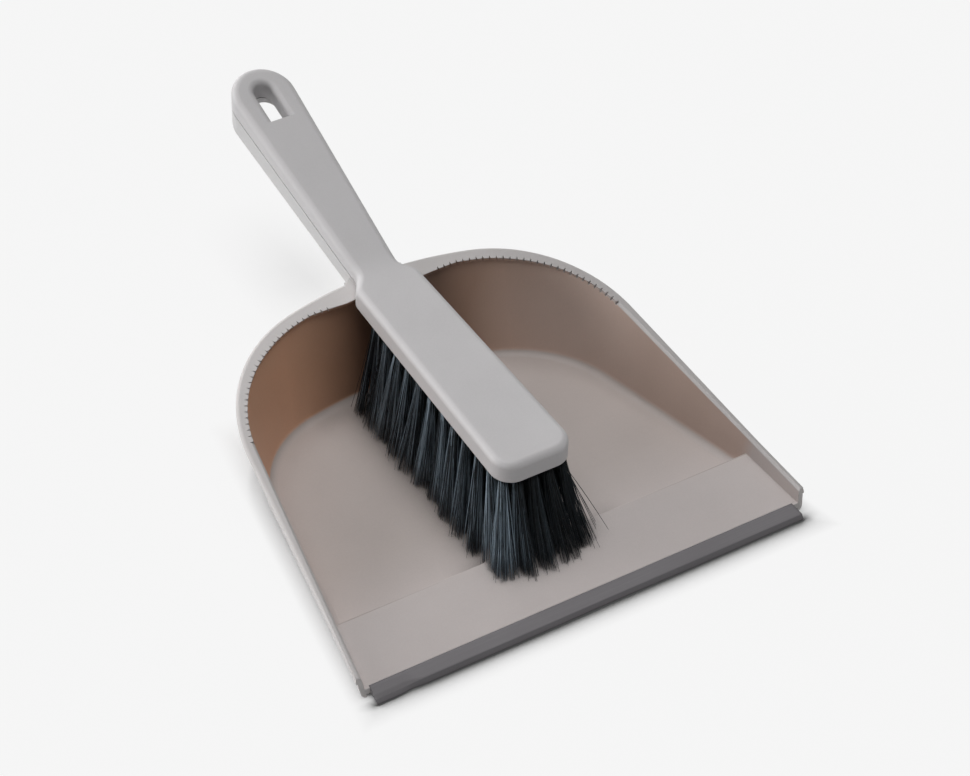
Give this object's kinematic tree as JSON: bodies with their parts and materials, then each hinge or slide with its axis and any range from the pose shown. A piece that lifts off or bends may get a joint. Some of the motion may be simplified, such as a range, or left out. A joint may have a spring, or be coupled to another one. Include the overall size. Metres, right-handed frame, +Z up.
{
  "type": "dustpan with hand brush",
  "caption": "Dustpan with a rubber-edged sweeping lip, a combed rim and a hollow handle, with a hand brush that nests on it and lifts off.",
  "frame": {"origin": "on the pan's flat underside, midway across, 110 mm behind the front edge of the lip", "axes": "+X along the lip to the right seen from the front, +Y back towards the handles, +Z up"},
  "size_m": [0.2246, 0.296, 0.0993],
  "materials": {
    "pan_plastic": "satin",
    "lip_rubber": "matt",
    "brush_plastic": "satin",
    "bristle_nylon": "slightly glossy",
    "staple_steel": "drawn"
  },
  "bodies": {
    "pan": {"pan": "pan_plastic", "lip_seal": "lip_rubber"},
    "brush": {"brush_block": "brush_plastic", "bristle_front": "bristle_nylon", "bristle_row_1": "bristle_nylon", "bristle_row_2": "bristle_nylon", "bristle_row_3": "bristle_nylon", "bristle_row_4": "bristle_nylon", "bristle_row_5": "bristle_nylon", "tuft_staples": "staple_steel"}
  },
  "joints": [
    {"name": "brush_lift", "type": "slide", "parent": "pan", "child": "brush", "axis": [0, 0, 1], "range_m": [0, 0.1]}
  ]
}
